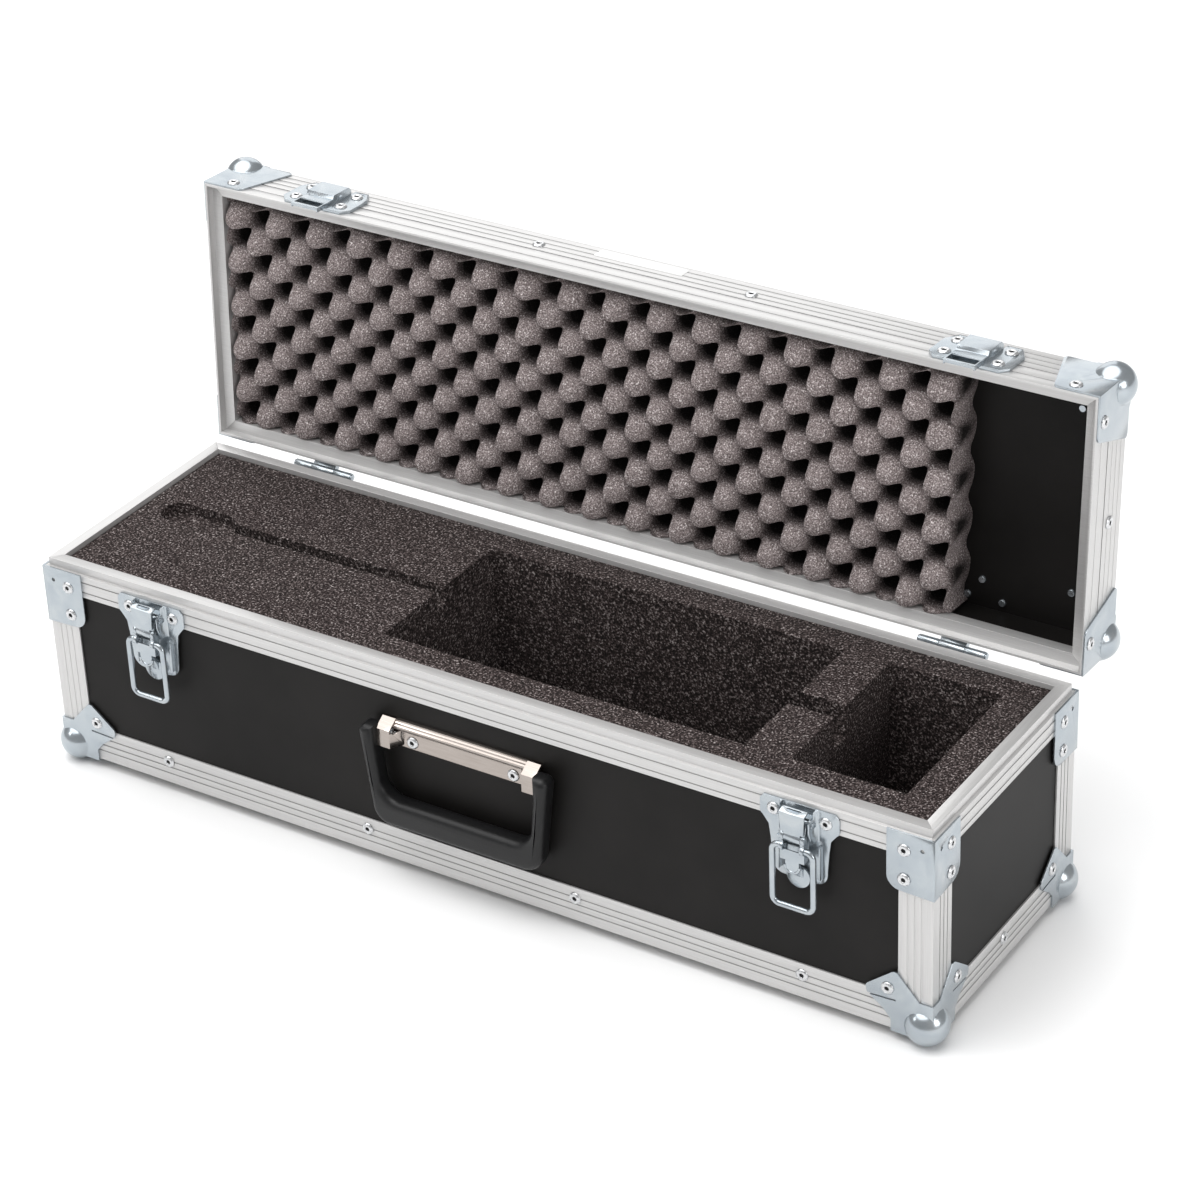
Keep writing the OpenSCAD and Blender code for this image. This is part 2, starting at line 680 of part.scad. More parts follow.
// Wire ring: a rounded loop with its two ends turned in through the lever
module latch_ring(side) {
    r = wire_d / 2;
    bend = 6;
    x_mid = ring_w / 2 - r;
    z_top = -ring_drop;
    z_low = -ring_drop - ring_l + r;
    y_mid = -half_w - ring_out;
    color(zinc) at_latch(side) {
        for (e = [-1, 1]) mirrored_x(e) {
            translate([x_mid, y_mid, z_low + bend]) cylinder(r = r, h = z_top - bend - z_low - bend);
            translate([x_mid - bend, y_mid, z_low + bend]) rotate([90, 90, 0])
                rotate_extrude(angle = 90) translate([bend, 0]) circle(r = r);
            translate([x_mid - bend, y_mid, z_top - bend]) rotate([90, 0, 0])
                rotate_extrude(angle = 90) translate([bend, 0]) circle(r = r);
            x_rod(r, lever_in + 0.4, x_mid - bend, ring_out, z_top);
        }
        x_rod(r, -x_mid + bend, x_mid - bend, ring_out, z_low);
    }
}

// Keeper on the lid front: a riveted plate with a raised box and a window for the claw
keeper_x = 33;
keeper_h = 44;
keeper_t = plate_t + 1.2;
keeper_rivet = [22, 11, 33];
box_x = 13;
box_out = 6.2;
box_step = 3;

module keeper(side) {
    low = 1.5;
    wall = 1.2;
    color(zinc) opened() at_latch(side) difference() {
        union() {
            on_front(0, keeper_t) polygon([[-keeper_x + 6, low], [keeper_x - 6, low],
                [keeper_x, low + 7], [keeper_x, keeper_h - 12], [keeper_x - 7, keeper_h],
                [box_x, keeper_h], [box_x, keeper_h - 5], [-box_x, keeper_h - 5],
                [-box_x, keeper_h], [-keeper_x + 7, keeper_h], [-keeper_x, keeper_h - 12],
                [-keeper_x, low + 7]]);
            translate([0, -half_w, 0]) rotate([90, 0, 90]) translate([0, 0, -box_x])
                linear_extrude(2 * box_x) polygon([[0, low], [-2.4, low], [-2.4, -8.5],
                    [-box_out, -8.5], [-box_out, 13], [-box_out - box_step, 14.5],
                    [-box_out - box_step, keeper_h - 9], [-box_out, keeper_h - 6],
                    [0, keeper_h - 6]]);
        }
        for (e = [-1, 1]) translate([e * keeper_rivet.x - 3, -half_w - keeper_t - 1, keeper_h - 5])
            cube([6, 1.6, 1.6]);
        translate([-box_x + wall, -half_w - box_out + wall, low + 2])
            cube([2 * (box_x - wall), box_out - wall - 1.7, 9]);
        translate([-box_x + wall, -half_w - box_out - 1, -5.9])
            cube([2 * (box_x - wall), box_out - 1, 10]);
        translate([-box_x + wall, -half_w - 3.5, -9.5])
            cube([2 * (box_x - wall), 5, 8]);
    }
}

// Handle: riveted bracket with a rolled bearing, an axle and a hanging grip
bracket_end = 12;
strip_t = 2;
strap_out = axle_out + axle_r + 1.6;
handle_in = handle_l / 2 - bracket_end;

// Across the bracket, as (out from the front face, height from the axle)
rail = [[-alu_t, -2], [1.2, -2], [2.4, -0.6], [1.6, 0.4], [3.6, 1.6], [3.6, 3.2], [2.4, 4],
    [2.4, 5.4], [1.2, 6.2], [1.2, 7.4], [-alu_t, 8]];
strap = [[-alu_t, 8], [1.2, 8], [strap_out, 1.6], [strap_out, -14], [strap_out - plate_t, -14],
    [strap_out - plate_t, 0.8], [1, 6.4], [-alu_t, 6.4]];
bracket_cheek = [[-alu_t, -7], [-alu_t, 8], [1.2, 8], [strap_out, 1.6], [strap_out, -5],
    [axle_out, -6]];

module across(points, x0, x1) {
    translate([x0, -half_w, floor_z + axle_z]) rotate([90, 0, 90]) linear_extrude(x1 - x0)
        polygon([for (p = points) [-p.x, p.y]]);
}

module handle_bracket() {
    z = floor_z + axle_z;
    end = handle_l / 2;
    color(nickel) difference() {
        union() {
            translate([-handle_in, -half_w + alu_t - strip_t, z - 16])
                cube([2 * handle_in, strip_t, 15]);
            across(rail, -end, end);
            for (e = [-1, 1]) mirrored_x(e) {
                across(strap, handle_in, end);
                across(bracket_cheek, handle_in, handle_in + plate_t);
                across(bracket_cheek, end - plate_t, end);
                translate([0, -half_w, z - 14]) linear_extrude(13)
                    polygon([[handle_in - 8, alu_t], [handle_in - 6, alu_t - strip_t],
                        [handle_in, -strap_out], [handle_in + plate_t, -strap_out],
                        [handle_in + plate_t, plate_t - strap_out], [handle_in - 4, alu_t]]);
            }
        }
        x_rod(axle_r, -handle_l, handle_l, axle_out, z);
    }
}

module handle_axle() {
    z = floor_z + axle_z;
    end = handle_l / 2 + fit + grip_leg - 2;
    color(zinc) for (e = [-1, 1]) mirrored_x(e) x_rod(axle_r, handle_in, end, axle_out, z);
}

module handle_grip() {
    z = floor_z + axle_z;
    in_x = handle_l / 2 + fit;
    out_x = in_x + grip_leg;
    outer = concat([[out_x, 4.6], [out_x, -25]], arc(out_x - 24, -grip_drop + 16, 16, 0, -90),
        arc(-out_x + 24, -grip_drop + 16, 16, 270, 180), [[-out_x, -25], [-out_x, 4.6]]);
    bar = -grip_drop + grip_bar;
    inner = concat([[in_x, 12], [in_x, -18]], arc(in_x - 20, bar + 17, 17, 0, -90),
        arc(-in_x + 20, bar + 17, 17, 270, 180), [[-in_x, -18], [-in_x, 12]]);
    color(laminate) difference() {
        translate([0, 0, z]) on_front(axle_out - 6.5, grip_t) difference() {
            polygon(outer);
            polygon(inner);
        }
        x_rod(axle_r + run_fit / 2, -out_x + 2, out_x - 2, axle_out, z);
        translate([-out_x - 1, -half_w - 30, z - 8]) cube([2 * out_x + 2, 30 - axle_out - 8, 30]);
    }
}

// Lid: drawn closed, then opened
rest_gap = 0.1;
lid_rim_profile = [[0, rest_gap], [0, lid_rim_leg * 0.45], [groove_d, lid_rim_leg * 0.45],
    [groove_d, lid_rim_leg * 0.45 + groove_w], [0, lid_rim_leg * 0.45 + groove_w],
    [0, lid_rim_leg], [alu_t, lid_rim_leg], [alu_t, lid_floor + alu_t],
    [board_in + board_slack, lid_floor + alu_t], [board_in + board_slack, 18], [11.4, 18],
    [11.4, lid_floor], [lip_t, lid_floor], [lip_t, rest_gap]];

lid_edge_profile = concat([[0, lid_h - edge_leg + fit]],
    groove_up(lid_h - edge_leg * 0.75), groove_up(lid_h - edge_leg * 0.5),
    groove_up(lid_h - edge_leg * 0.25),
    [[0, lid_h], [edge_leg, lid_h], [edge_leg, lid_h - alu_t], [alu_t, lid_h - alu_t],
        [alu_t, lid_h - edge_leg + fit]]);

module all_round(points) {
    for (s = [-1, 1]) {
        mirrored_y(s) along_front(points);
        mirrored_x(s) along_right(points);
    }
}

module lid_panel() {
    color(laminate) opened() translate([-half_l + alu_t, -half_w + alu_t, lid_top_z - board_in])
        cube([case_l - 2 * alu_t, case_w - 2 * alu_t, board_t]);
}

module lid_wall_boards() {
    z0 = step_z + lid_floor + alu_t;
    h = lid_top_z - board_in - z0;
    color(laminate) opened() for (s = [-1, 1]) {
        mirrored_y(s) translate([-half_l + alu_t, -half_w + alu_t, z0])
            cube([case_l - 2 * alu_t, board_t, h]);
        mirrored_x(s) translate([half_l - board_in, -half_w + board_in + board_slack, z0])
            cube([board_t, case_w - 2 * board_in - 2 * board_slack, h]);
    }
}

module lid_rim() {
    color(aluminium) opened() translate([0, 0, step_z]) all_round(lid_rim_profile);
}

module lid_edge_extrusions() {
    color(aluminium) opened() translate([0, 0, step_z]) all_round(lid_edge_profile);
}

lid_rivet_z = lid_top_z - edge_leg * 0.68;

module lid_rivets() {
    color(zinc) opened() {
        for (sx = [-1, 1], sy = [-1, 1]) mirrored_x(sx) mirrored_y(sy) {
            front_rivet(half_l - brace_w * 0.6, step_z + 10, plate_t);
            right_rivet(-half_w + brace_w * 0.6, step_z + 10, plate_t);
            front_rivet(edge_rivet_x[2], lid_rivet_z, 0);
        }
        for (sx = [-1, 1]) mirrored_x(sx) right_rivet(0, lid_rivet_z, 0);
        for (s = [-1, 1], e = [-1, 1], z = [keeper_rivet.y, keeper_rivet.z])
            front_rivet(s * latch_x + e * keeper_rivet.x, step_z + z, keeper_t);
        for (s = [-1, 1], e = [-1, 1]) mirrored_y(-1)
            front_rivet(s * hinge_x + e * hinge_rivet.x, step_z + hinge_rivet.y, plate_t);
    }
}

// Lid foam: a sheet on the lid board with staggered round-tipped peaks
lid_foam_z = lid_top_z - board_in - lid_foam_t;
lid_foam_x0 = -half_l + 11.4 + fit;
lid_foam_y = half_w - 11.4 - fit;
peak_tip_z = step_z + foam_up + 1.8;

module lid_foam() {
    x_first = lid_foam_x0 + peak_r + 0.2;
    x_pitch = (lid_foam_end - lid_foam_x0 - 2 * peak_r - 0.4) / (peak_columns - 1);
    y_pitch = (2 * lid_foam_y - 2 * peak_r - 0.4) / (2 * peak_rows - 1);
    color(soft) opened() union() {
        translate([lid_foam_x0, -lid_foam_y, lid_foam_z])
            cube([lid_foam_end - lid_foam_x0, 2 * lid_foam_y, lid_foam_t]);
        for (i = [0:peak_columns - 1], j = [0:peak_rows - 1])
            translate([x_first + i * x_pitch,
                -lid_foam_y + peak_r + 0.2 + (2 * j + i % 2) * y_pitch, peak_tip_z])
                cylinder(r1 = peak_tip_r, r2 = peak_r, h = lid_foam_z - peak_tip_z + 0.5, $fn = 24);
    }
}

label_l = 80;
label_h = 13;

module lid_label() {
    color("white") opened() translate([-8, 0, step_z + lid_h - 10]) on_front(0, 0.3)
        polygon(rounded(-label_l / 2, -label_h / 2, label_l / 2, label_h / 2, 1));
}

module base_rim_front() { color(aluminium) along_front(rim_profile); }
module base_rim_right() { color(aluminium) along_right(rim_profile); }
module base_edge_front() { color(aluminium) along_front(bottom_profile); }
module base_edge_right() { color(aluminium) along_right(bottom_profile); }

bottom_panel();
long_panel();  // front_panel
mirrored_y(-1) long_panel();  // rear_panel
mirrored_x(-1) end_panel();  // left_panel
end_panel();  // right_panel
base_edge_front();  // bottom_extrusion_front
mirrored_y(-1) base_edge_front();  // bottom_extrusion_rear
mirrored_x(-1) base_edge_right();  // bottom_extrusion_left
base_edge_right();  // bottom_extrusion_right
mirrored_x(-1) post();  // corner_post_front_left
post();  // corner_post_front_right
mirrored_x(-1) mirrored_y(-1) post();  // corner_post_rear_left
mirrored_y(-1) post();  // corner_post_rear_right
base_rim_front();  // rim_front
mirrored_y(-1) base_rim_front();  // rim_rear
mirrored_x(-1) base_rim_right();  // rim_left
base_rim_right();  // rim_right
mirrored_x(-1) brace();  // rim_brace_front_left
brace();  // rim_brace_front_right
mirrored_x(-1) mirrored_y(-1) brace();  // rim_brace_rear_left
mirrored_y(-1) brace();  // rim_brace_rear_right
mirrored_x(-1) ball_corner();  // ball_corner_front_left
ball_corner();  // ball_corner_front_right
mirrored_x(-1) mirrored_y(-1) ball_corner();  // ball_corner_rear_left
mirrored_y(-1) ball_corner();  // ball_corner_rear_right
base_rivets();
foam_insert();
foam_pad();
hinge_base_leaves();
hinge_pins();
latch_plate(-1);  // latch_plate_left
latch_plate(1);  // latch_plate_right
lever_pin(-1);  // lever_pin_left
lever_pin(1);  // lever_pin_right
latch_lever(-1);  // latch_lever_left
latch_lever(1);  // latch_lever_right
claw_pin(-1);  // claw_pin_left
claw_pin(1);  // claw_pin_right
latch_claw(-1);  // latch_claw_left
latch_claw(1);  // latch_claw_right
latch_ring(-1);  // latch_ring_left
latch_ring(1);  // latch_ring_right
handle_bracket();
handle_axle();
handle_grip();
lid_panel();
lid_wall_boards();
lid_rim();
lid_edge_extrusions();
opened() mirrored_x(-1) lid_corner();  // lid_corner_front_left
opened() lid_corner();  // lid_corner_front_right
opened() mirrored_x(-1) mirrored_y(-1) lid_corner();  // lid_corner_rear_left
opened() mirrored_y(-1) lid_corner();  // lid_corner_rear_right
keeper(-1);  // keeper_left
keeper(1);  // keeper_right
lid_rivets();
hinge_lid_leaves();
lid_foam();
lid_label();
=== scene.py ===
import json
import math

import bmesh
import bpy
from mathutils import Matrix, Vector, noise


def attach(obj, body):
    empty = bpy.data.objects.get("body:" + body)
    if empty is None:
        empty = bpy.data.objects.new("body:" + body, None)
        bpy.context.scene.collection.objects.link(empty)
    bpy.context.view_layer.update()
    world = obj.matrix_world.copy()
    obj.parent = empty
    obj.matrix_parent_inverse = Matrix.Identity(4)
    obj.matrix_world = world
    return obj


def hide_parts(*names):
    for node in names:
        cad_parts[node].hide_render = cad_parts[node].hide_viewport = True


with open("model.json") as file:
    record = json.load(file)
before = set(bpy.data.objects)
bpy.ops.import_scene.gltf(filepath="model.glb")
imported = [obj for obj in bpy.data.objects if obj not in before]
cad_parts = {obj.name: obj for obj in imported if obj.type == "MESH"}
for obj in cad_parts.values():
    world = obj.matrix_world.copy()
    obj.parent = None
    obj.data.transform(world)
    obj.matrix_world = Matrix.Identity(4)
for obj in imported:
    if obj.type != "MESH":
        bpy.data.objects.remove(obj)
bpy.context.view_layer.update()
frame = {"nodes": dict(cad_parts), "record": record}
record = frame["record"]
bodyOf = {n: body for body, nodes in record["behaviour"]["bodies"].items() for n in nodes}
slotOf = {part["node"]: part["material_slot"] for part in record["subparts"]}
print("frame loaded:", len(bodyOf), "nodes")

# The case itself, in metres, with the lid open as it rests
case = {
    "halfLength": 0.4,
    "halfWidth": 0.1125,
    "stepHeight": 0.1725,
    "lidHeight": 0.053,
    "openAngle": 93.3,
    "hingeAxis": (0.0, 0.1205, 0.1745),
}


def opened():
    axis = Matrix.Translation(Vector(case["hingeAxis"]))
    return axis @ Matrix.Rotation(math.radians(-case["openAngle"]), 4, "X") @ axis.inverted()


# Finishes, all procedural and on object coordinates
def newMaterial(name, roughness=0.5, metallic=0.0, colour=None, **sockets):
    material = bpy.data.materials.new(name)
    material.use_nodes = True
    shader = material.node_tree.nodes["Principled BSDF"]
    shader.inputs["Roughness"].default_value = roughness
    shader.inputs["Metallic"].default_value = metallic
    if colour:
        shader.inputs["Base Color"].default_value = (*colour, 1.0)
    for socket, value in sockets.items():
        shader.inputs[socket.replace("_", " ")].default_value = value
    return material


def addNode(material, kind, **inputs):
    made = material.node_tree.nodes.new(kind)
    for name, value in inputs.items():
        made.inputs[name.replace("_", " ")].default_value = value
    return made


def join(material, fromNode, fromSocket, toNode, toSocket):
    material.node_tree.links.new(fromNode.outputs[fromSocket], toNode.inputs[toSocket])


def grain(material, scale, detail=3.0, stretch=(1.0, 1.0, 1.0), distortion=0.0):
    place = addNode(material, "ShaderNodeTexCoord")
    mapping = addNode(material, "ShaderNodeMapping", Scale=stretch)
    pattern = addNode(material, "ShaderNodeTexNoise", Scale=scale, Detail=detail)
    pattern.inputs["Distortion"].default_value = distortion
    join(material, place, "Object", mapping, "Vector")
    join(material, mapping, "Vector", pattern, "Vector")
    return pattern


def ramp(material, source, socket, stops):
    made = addNode(material, "ShaderNodeValToRGB")
    made.color_ramp.elements[0].position = stops[0][0]
    made.color_ramp.elements[0].color = (*stops[0][1], 1.0)
    made.color_ramp.elements[1].position = stops[-1][0]
    made.color_ramp.elements[1].color = (*stops[-1][1], 1.0)
    for position, colour in stops[1:-1]:
        made.color_ramp.elements.new(position).color = (*colour, 1.0)
    join(material, source, socket, made, "Fac")
    return made


def roughen(material, source, socket, low, high):
    made = addNode(material, "ShaderNodeMapRange", To_Min=low, To_Max=high)
    join(material, source, socket, made, "Value")
    join(material, made, "Result", material.node_tree.nodes["Principled BSDF"], "Roughness")


def addBump(material, source, socket, strength, distance):
    made = addNode(material, "ShaderNodeBump", Strength=strength, Distance=distance)
    join(material, source, socket, made, "Height")
    join(material, made, "Normal", material.node_tree.nodes["Principled BSDF"], "Normal")
    return made


def paint(material, source):
    join(material, source, "Color", material.node_tree.nodes["Principled BSDF"], "Base Color")


def boardFinish():
    material = newMaterial("blackBoard", roughness=0.45, Specular_IOR_Level=0.14)
    clouds = grain(material, 14.0, 4.0)
    blacks = [(0.3, (0.0068, 0.0062, 0.0058)), (0.75, (0.0128, 0.0116, 0.011))]
    paint(material, ramp(material, clouds, "Fac", blacks))
    pebbles = grain(material, 1300.0, 2.0)
    roughen(material, pebbles, "Fac", 0.34, 0.56)
    addBump(material, pebbles, "Fac", 0.25, 0.0003)
    return material


def aluminiumFinish(name, along, shade=1.0):
    stretch = {"X": (0.01, 1.0, 1.0), "Y": (1.0, 0.01, 1.0), "Z": (1.0, 1.0, 0.01)}[along]
    material = newMaterial(name, roughness=0.36, metallic=0.5)
    drawn = grain(material, 2600.0, 2.0, stretch)
    greys = [(0.3, (0.56, 0.553, 0.548)), (0.7, (0.64, 0.635, 0.63))]
    shaded = [(position, tuple(shade * c for c in grey)) for position, grey in greys]
    paint(material, ramp(material, drawn, "Fac", shaded))
    roughen(material, drawn, "Fac", 0.28, 0.42)
    addBump(material, drawn, "Fac", 0.08, 0.00005)
    return material


def zincFinish():
    material = newMaterial("zincSteel", roughness=0.24, metallic=0.88)
    clouds = grain(material, 60.0, 4.0, distortion=0.6)
    blues = [(0.3, (0.39, 0.43, 0.465)), (0.55, (0.435, 0.475, 0.505)), (0.75, (0.5, 0.53, 0.55))]
    paint(material, ramp(material, clouds, "Fac", blues))
    fine = grain(material, 900.0, 2.0)
    roughen(material, clouds, "Fac", 0.17, 0.29)
    addBump(material, fine, "Fac", 0.05, 0.0001)
    return material


def rivetFinish():
    material = newMaterial("rivetSteel", roughness=0.28, metallic=0.9)
    clouds = grain(material, 500.0, 3.0)
    greys = [(0.3, (0.56, 0.57, 0.585)), (0.7, (0.74, 0.745, 0.75))]
    paint(material, ramp(material, clouds, "Fac", greys))
    roughen(material, clouds, "Fac", 0.2, 0.36)
    return material


# Near-black finish for the rivet bores: painted shade in the holes, with a little noise
def paintedBoreShadeFinish():
    material = newMaterial("rivetBorePaintedShade", roughness=0.7, metallic=0.3)
    shadeGrain = grain(material, 1500.0, 2.0)
    darks = [(0.3, (0.012, 0.012, 0.013)), (0.7, (0.035, 0.035, 0.036))]
    paint(material, ramp(material, shadeGrain, "Fac", darks))
    return material


def nickelFinish():
    material = newMaterial("nickelSteel", roughness=0.22, metallic=1.0)
    drawn = grain(material, 2400.0, 2.0, (0.02, 1.0, 1.0))
    warms = [(0.3, (0.36, 0.318, 0.29)), (0.7, (0.43, 0.385, 0.355))]
    paint(material, ramp(material, drawn, "Fac", warms))
    roughen(material, drawn, "Fac", 0.08, 0.22)
    return material


def plasticFinish():
    material = newMaterial("blackPlastic", roughness=0.42, Specular_IOR_Level=0.35)
    leathery = grain(material, 700.0, 2.0)
    blacks = [(0.3, (0.0045, 0.0045, 0.005)), (0.7, (0.009, 0.009, 0.0095))]
    paint(material, ramp(material, leathery, "Fac", blacks))
    roughen(material, leathery, "Fac", 0.34, 0.5)
    addBump(material, leathery, "Fac", 0.2, 0.0003)
    return material


def foamFinish(name, shades, cellSize, bumpDepth):
    material = newMaterial(name, roughness=0.95, Specular_IOR_Level=0.2)
    cells = grain(material, cellSize, 3.0, distortion=0.4)
    paint(material, ramp(material, cells, "Fac", shades))
    addBump(material, cells, "Fac", 1.0, bumpDepth)
    return material


# The lid foam gets painted shade down its valleys, darker by the depth stored on its mesh
def paintedValleyShadeFinish():
    material = foamFinish("lidFoam", foamShades["lid"], 900.0, 0.0006)
    shader = material.node_tree.nodes["Principled BSDF"]
    speckled = shader.inputs["Base Color"].links[0].from_socket
    depth = addNode(material, "ShaderNodeAttribute")
    depth.attribute_name = "hollow"
    fade = ramp(material, depth, "Fac", foamShades["valley"])
    shaded = addNode(material, "ShaderNodeVectorMath")
    shaded.operation = "MULTIPLY"
    material.node_tree.links.new(speckled, shaded.inputs[0])
    material.node_tree.links.new(fade.outputs["Color"], shaded.inputs[1])
    material.node_tree.links.new(shaded.outputs["Vector"], shader.inputs["Base Color"])
    return material


def labelFinish():
    material = newMaterial("whiteLabel", roughness=0.5)
    paper = grain(material, 300.0, 2.0)
    whites = [(0.3, (0.8, 0.8, 0.79)), (0.7, (0.9, 0.9, 0.89))]
    paint(material, ramp(material, paper, "Fac", whites))
    return material


# Foam shades: the lightest stops make sparse bright specks, partly the foam's own speckle and partly
# painted glints
foamShades = {
    "base": [
        (0.38, (0.008, 0.006, 0.0055)),
        (0.52, (0.038, 0.028, 0.0268)),
        (0.61, (0.125, 0.1, 0.097)),
        (0.7, (0.42, 0.38, 0.37)),
    ],
    "lid": [
        (0.34, (0.105, 0.085, 0.083)),
        (0.5, (0.24, 0.2, 0.196)),
        (0.62, (0.44, 0.385, 0.38)),
        (0.7, (0.95, 0.9, 0.89)),
    ],
    # valley: painted shade, a darkening ramp on the stored depth for the lid foam's valleys
    "valley": [(0.42, (1.0, 1.0, 1.0)), (0.54, (0.36, 0.35, 0.35)), (0.66, (0.03, 0.028, 0.027))],
}
finish = {
    "board": boardFinish(),
    "aluX": aluminiumFinish("aluminiumAlongX", "X"),
    "aluY": aluminiumFinish("aluminiumAlongY", "Y"),
    "aluZ": aluminiumFinish("aluminiumAlongZ", "Z"),
    # Half-bright copy of the trim finish: painted shade in the trim's grooves
    "groove": aluminiumFinish("aluminiumGroovePaintedShade", "X", 0.5),
    "zinc": zincFinish(),
    "rivet": rivetFinish(),
    "bore": paintedBoreShadeFinish(),
    "nickel": nickelFinish(),
    "plastic": plasticFinish(),
    "baseFoam": foamFinish("baseFoam", foamShades["base"], 620.0, 0.0012),
    "lidFoam": paintedValleyShadeFinish(),
    "label": labelFinish(),
}
print("finishes made:", len(finish))


def named(node):
    words = node.split("_")
    return words[0] + "".join(w.capitalize() for w in words[1:])


def newPiece(name, mesh, material, body, slot, *stoodFor):
    piece = bpy.data.objects.new(name, mesh)
    bpy.context.scene.collection.objects.link(piece)
    mesh.materials.clear()
    mesh.materials.append(material)
    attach(piece, body)
    if stoodFor:
        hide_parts(*stoodFor)
    return piece


def addBevel(piece, width, segments, angle=28.0):
    bevel = piece.modifiers.new("Bevel", "BEVEL")
    bevel.width = width
    bevel.segments = segments
    bevel.limit_method = "ANGLE"
    bevel.angle_limit = math.radians(angle)
    bevel.harden_normals = True
    piece.data.shade_smooth()


# A merged copy of a CAD node's mesh, with its flat faces joined up
merging = {"distance": 2e-6, "flatAngle": math.radians(0.8)}


def mergedCopy(node):
    mesh = frame["nodes"][node].data.copy()
    work = bmesh.new()
    work.from_mesh(mesh)
    bmesh.ops.remove_doubles(work, verts=work.verts, dist=merging["distance"])
    bmesh.ops.dissolve_limit(work, angle_limit=merging["flatAngle"], verts=work.verts, edges=work.edges)
    return mesh, work


# Trim: the faces of its fine grooves, long and about a millimetre wide, take a half-bright copy of the
# finish as painted shade
groove = {"leastLength": 0.05, "mostWidth": 0.00115, "frontMargin": 0.001}


def trimmed(node, material):
    mesh, work = mergedCopy(node)
    for face in work.faces:
        fromFront = case["halfWidth"] - abs(face.calc_center_bounds().y)
        if node.startswith("corner_post") and fromFront < groove["frontMargin"]:
            continue  # the posts are plain in front
        places = [[v.co[i] for v in face.verts] for i in range(3)]
        spans = sorted(max(along) - min(along) for along in places)
        if spans[2] > groove["leastLength"] and spans[1] < groove["mostWidth"]:
            face.material_index = 1
    piece = newPiece(named(node), mesh, material, bodyOf[node], slotOf[node], node)
    mesh.materials.append(finish["groove"])
    work.to_mesh(mesh)
    work.free()
    addBevel(piece, edgeWidths["trim"], 2)


def softened(node, width, material, segments=2):
    mesh, work = mergedCopy(node)
    work.to_mesh(mesh)
    work.free()
    piece = newPiece(named(node), mesh, material, bodyOf[node], slotOf[node], node)
    addBevel(piece, width, segments)
    return piece


# Rivets get painted shade in their bore: the faces of each head that lie close to its own axis take a
# near-black finish
boreRadius = 0.0017


def rivetHeads(node):
    mesh, work = mergedCopy(node)
    left = set(work.faces)
    while left:
        head, edge = set(), [next(iter(left))]
        while edge:
            face = edge.pop()
            if face in head:
                continue
            head.add(face)
            edge += [f for e in face.edges for f in e.link_faces if f not in head]
        left -= head
        foot = max(head, key=lambda f: f.calc_area())
        middle, axis = foot.calc_center_bounds(), foot.normal.copy()
        for face in head - {foot}:
            reach = [v.co - middle for v in face.verts]
            if all((r - axis * r.dot(axis)).length < boreRadius for r in reach):
                face.material_index = 1
    piece = newPiece(named(node), mesh, finish["rivet"], bodyOf[node], slotOf[node], node)
    mesh.materials.append(finish["bore"])
    work.to_mesh(mesh)
    work.free()
    addBevel(piece, edgeWidths["latch"], 2)


sides = ("left", "right")
ends = ("front", "rear")
edgeWidths = {
    "trim": 0.00014,
    "plate": 0.00035,
    "latch": 0.0003,
    "foam": 0.0012,
    "bracket": 0.0003,
    "label": 0.0001,
}
boards = [f"{place}_panel" for place in ("bottom", "front", "rear", "left", "right", "lid")]
latchParts = ("latch_plate", "lever_pin", "latch_lever", "claw_pin", "latch_claw", "latch_ring", "keeper")

for node in (*boards, "lid_wall_boards"):
    frame["nodes"][node].data.materials.clear()
    frame["nodes"][node].data.materials.append(finish["board"])

for end in ends:
    trimmed(f"bottom_extrusion_{end}", finish["aluX"])
    trimmed(f"rim_{end}", finish["aluX"])
    for side in sides:
        trimmed(f"corner_post_{end}_{side}", finish["aluZ"])
        softened(f"rim_brace_{end}_{side}", edgeWidths["plate"], finish["zinc"])
        softened(f"ball_corner_{end}_{side}", edgeWidths["plate"], finish["zinc"])
        softened(f"lid_corner_{end}_{side}", edgeWidths["plate"], finish["zinc"])
for side in sides:
    trimmed(f"bottom_extrusion_{side}", finish["aluY"])
    trimmed(f"rim_{side}", finish["aluY"])
    for part in latchParts:
        softened(f"{part}_{side}", edgeWidths["latch"], finish["zinc"])
for node in ("lid_rim", "lid_edge_extrusions"):
    trimmed(node, finish["aluX"])
for node in ("hinge_base_leaves", "hinge_pins", "hinge_lid_leaves", "handle_axle"):
    softened(node, edgeWidths["latch"], finish["zinc"])
for node in ("base_rivets", "lid_rivets"):
    rivetHeads(node)
softened("handle_bracket", edgeWidths["bracket"], finish["nickel"])
for node in ("foam_insert", "foam_pad"):
    softened(node, edgeWidths["foam"], finish["baseFoam"], 3)
softened("lid_label", edgeWidths["label"], finish["label"], 1)
print("trim, hardware and foam dressed")

# Peaked foam in the lid, drawn with the lid closed and then opened
peaks = {
    "left": -0.3883,
    "right": 0.284,
    "halfWidth": 0.1008,
    "back": 0.2170,
    "valley": 0.2140,
    "tip": 0.1775,
    "firstX": -0.3751,
    "pitchX": 0.02019,
    "firstY": -0.0876,
    "pitchY": 0.01947,
    "step": 0.0022,
    "droop": (-0.0042, 0.0078),
    "swell": 0.0032,
    "roundness": 1.7,
    "unevenness": 0.0011,
    "unevenScale": 60.0,
    "edgeShade": 0.5,
}


